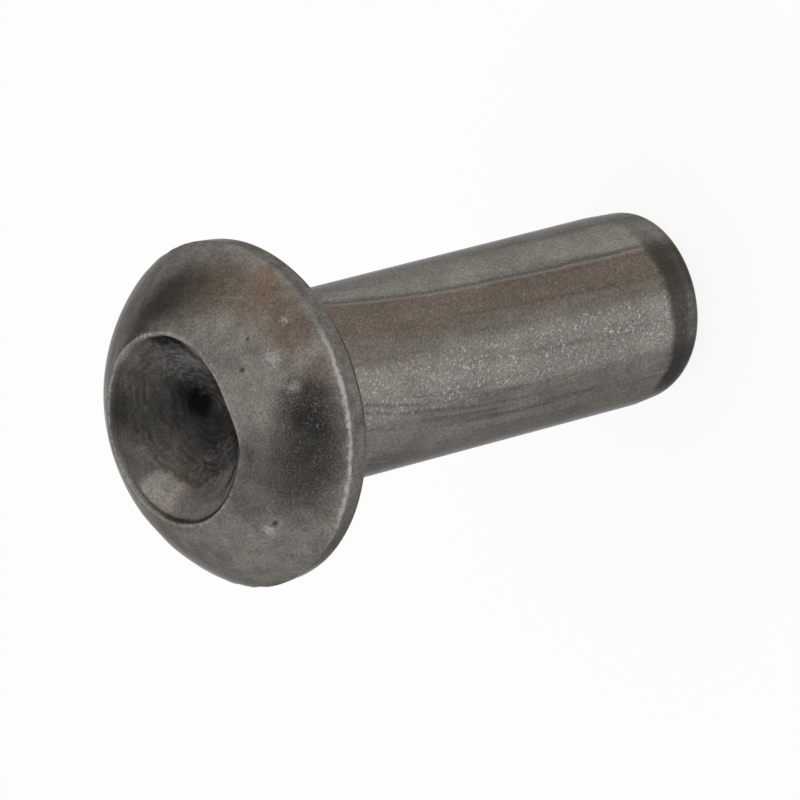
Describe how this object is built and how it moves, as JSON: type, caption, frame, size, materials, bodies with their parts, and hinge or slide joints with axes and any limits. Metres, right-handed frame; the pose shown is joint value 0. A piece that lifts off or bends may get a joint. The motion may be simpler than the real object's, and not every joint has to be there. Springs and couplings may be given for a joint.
{
  "type": "rivet",
  "caption": "Solid steel rivet with a domed round head dished in the middle, a plain round shank and a rounded tail end.",
  "frame": {"origin": "centre of the flat bearing face under the head", "axes": "+Z along the rivet's axis towards the head; the rivet stands on its tail end with the head up"},
  "size_m": [0.0142, 0.0142, 0.0263],
  "materials": {
    "steel": "plain dark grey steel, satin, lightly pitted and faintly browned, with worn edges"
  },
  "bodies": {
    "root": {"rivet": "steel"}
  },
  "joints": []
}
